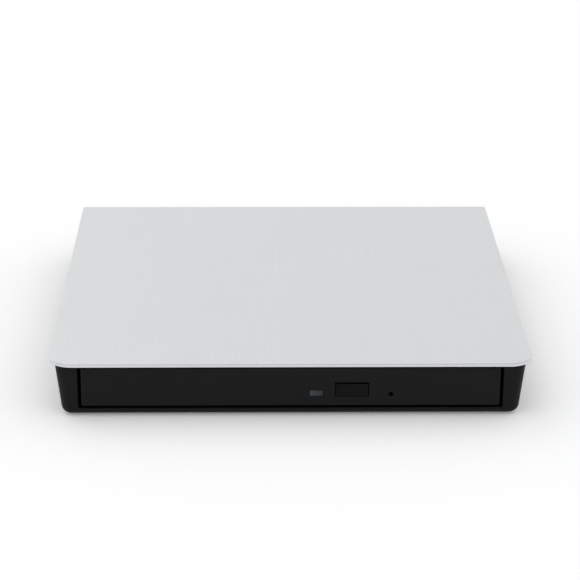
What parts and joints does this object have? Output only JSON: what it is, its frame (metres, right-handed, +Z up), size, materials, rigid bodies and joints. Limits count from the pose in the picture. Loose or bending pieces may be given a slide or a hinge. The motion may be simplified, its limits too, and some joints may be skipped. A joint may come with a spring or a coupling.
{
  "type": "external disc drive",
  "caption": "Slim external disc drive: a black moulded tub under a brushed aluminium plate, with a tray on telescopic rails, an eject button and an optical pickup inside.",
  "frame": {"origin": "on the surface that the drive stands on, under the middle of the aluminium plate", "axes": "+X to the right as seen from the front, +Y to the back, +Z up; the tray opens towards -Y"},
  "size_m": [0.148, 0.146, 0.0183],
  "materials": {
    "brushed_aluminium": "brushed across, clear anodised, satin",
    "black_abs": "fine moulded grain, satin",
    "bezel_plastic": "fine moulded grain, satin",
    "tray_plastic": "moulded, fine spark texture",
    "zinc_sheet": "zinc-plated sheet, dull",
    "rail_steel": "bright sheet steel",
    "rotor_steel": "drawn steel, nickel plated",
    "screw_steel": "nickel plated",
    "polished_rod": "ground and polished",
    "spring_wire": "music wire",
    "socket_shell": "tin plated",
    "bearing_brass": "turned",
    "copper_wire": "enamelled wire",
    "diecast_zinc": "die-cast, matt",
    "cover_black": "black coated sheet, matt",
    "magnet_black": "sintered, matt",
    "foot_rubber": "matt",
    "pad_rubber": "matt",
    "hub_plastic": "moulded",
    "connector_plastic": "moulded",
    "adhesive_film": "double-sided film",
    "insulating_film": "film",
    "green_board": "solder mask over glass laminate",
    "chip_epoxy": "moulded epoxy",
    "flex_film": "polyimide film over copper",
    "lamp_window": "smoky translucent plastic",
    "lamp_body": "clear epoxy",
    "lens_glass": "coated"
  },
  "bodies": {
    "enclosure": {"base_tub": "black_abs", "rubber_feet": "foot_rubber", "case_screws": "screw_steel", "lid_panel": "black_abs", "plate_film": "adhesive_film", "top_plate": "brushed_aluminium", "drive_case": "zinc_sheet", "drive_cover": "zinc_sheet", "left_guide_channel": "rail_steel", "right_guide_channel": "rail_steel", "lock_post": "rail_steel", "drive_board": "green_board", "board_insulator": "insulating_film", "drive_chips": "chip_epoxy", "flex_connector": "connector_plastic", "drive_plug": "connector_plastic", "bridge_board": "green_board", "bridge_chips": "chip_epoxy", "bridge_receptacle": "connector_plastic", "bridge_screws": "screw_steel", "usb_socket": "socket_shell", "socket_tongue": "connector_plastic"},
    "tray": {"tray": "tray_plastic", "front_bezel": "bezel_plastic", "led_window": "lamp_window", "status_led": "lamp_body", "control_board": "green_board", "eject_switch": "socket_shell", "tray_screws": "screw_steel", "traverse_frame": "zinc_sheet", "traverse_cover": "cover_black", "traverse_grommets": "foot_rubber", "spindle_bearing": "bearing_brass", "spindle_stator": "rail_steel", "stator_windings": "copper_wire", "guide_rods": "polished_rod", "rod_clamps": "rail_steel", "sled_motor": "zinc_sheet", "sled_brackets": "rail_steel", "solenoid": "copper_wire", "push_spring": "spring_wire", "tray_flex": "flex_film"},
    "left_rail": {"left_rail": "rail_steel"},
    "right_rail": {"right_rail": "rail_steel"},
    "eject_button": {"eject_button": "bezel_plastic"},
    "spindle": {"rotor_cup": "rotor_steel", "rotor_magnet": "magnet_black", "turntable": "hub_plastic", "disc_pad": "pad_rubber", "hub_tabs": "connector_plastic", "spindle_shaft": "polished_rod"},
    "pickup": {"pickup_base": "diecast_zinc", "pickup_shield": "rotor_steel", "pickup_magnets": "magnet_black"},
    "lens": {"lens_holder": "hub_plastic", "objective_lens": "lens_glass"},
    "lead_screw": {"lead_screw": "polished_rod"},
    "latch": {"latch_lever": "connector_plastic"},
    "push_rod": {"push_rod": "polished_rod"},
    "emergency_slider": {"emergency_slider": "connector_plastic"}
  },
  "joints": [
    {"name": "tray_slide", "type": "slide", "parent": "enclosure", "child": "tray", "axis": [0, -1, 0], "range_m": [0, 0.128], "deforming": ["tray_flex"]},
    {"name": "left_rail_slide", "type": "slide", "parent": "enclosure", "child": "left_rail", "axis": [0, -1, 0], "range_m": [0, 0.064]},
    {"name": "right_rail_slide", "type": "slide", "parent": "enclosure", "child": "right_rail", "axis": [0, -1, 0], "range_m": [0, 0.064]},
    {"name": "eject_button_press", "type": "slide", "parent": "tray", "child": "eject_button", "axis": [0, 1, 0], "range_m": [0, 0.0006], "stiffness_N_per_m": 800, "springref_m": -0.0005},
    {"name": "spindle_spin", "type": "hinge", "parent": "tray", "child": "spindle", "pos_m": [0, -0.0062, 0.01], "axis": [0, 0, 1], "continuous": true},
    {"name": "pickup_slide", "type": "slide", "parent": "tray", "child": "pickup", "axis": [-0.7071, -0.7071, 0], "range_m": [0, 0.032]},
    {"name": "lens_focus", "type": "slide", "parent": "pickup", "child": "lens", "axis": [0, 0, 1], "range_m": [-0.0004, 0.0004], "stiffness_N_per_m": 60},
    {"name": "lead_screw_spin", "type": "hinge", "parent": "tray", "child": "lead_screw", "pos_m": [0.01577, -0.02197, 0.0084], "axis": [-0.7071, -0.7071, 0], "range_deg": [-5, 3850]},
    {"name": "latch_turn", "type": "hinge", "parent": "tray", "child": "latch", "pos_m": [0.0515, -0.052, 0.007], "axis": [0, 0, 1], "range_deg": [0, 17]},
    {"name": "push_rod_slide", "type": "slide", "parent": "tray", "child": "push_rod", "axis": [0, 1, 0], "range_m": [0, 0.014], "deforming": ["push_spring"]},
    {"name": "emergency_slide", "type": "slide", "parent": "tray", "child": "emergency_slider", "axis": [0, 1, 0], "range_m": [0, 0.002], "stiffness_N_per_m": 150, "springref_m": -0.001}
  ],
  "couplings": [
    {"joint": "left_rail_slide", "follows": "tray_slide", "ratio": 0.5},
    {"joint": "right_rail_slide", "follows": "tray_slide", "ratio": 0.5},
    {"joint": "push_rod_slide", "follows": "tray_slide", "ratio": 0.10938},
    {"joint": "lead_screw_spin", "follows": "pickup_slide", "rad_per_m": 2094.4}
  ]
}
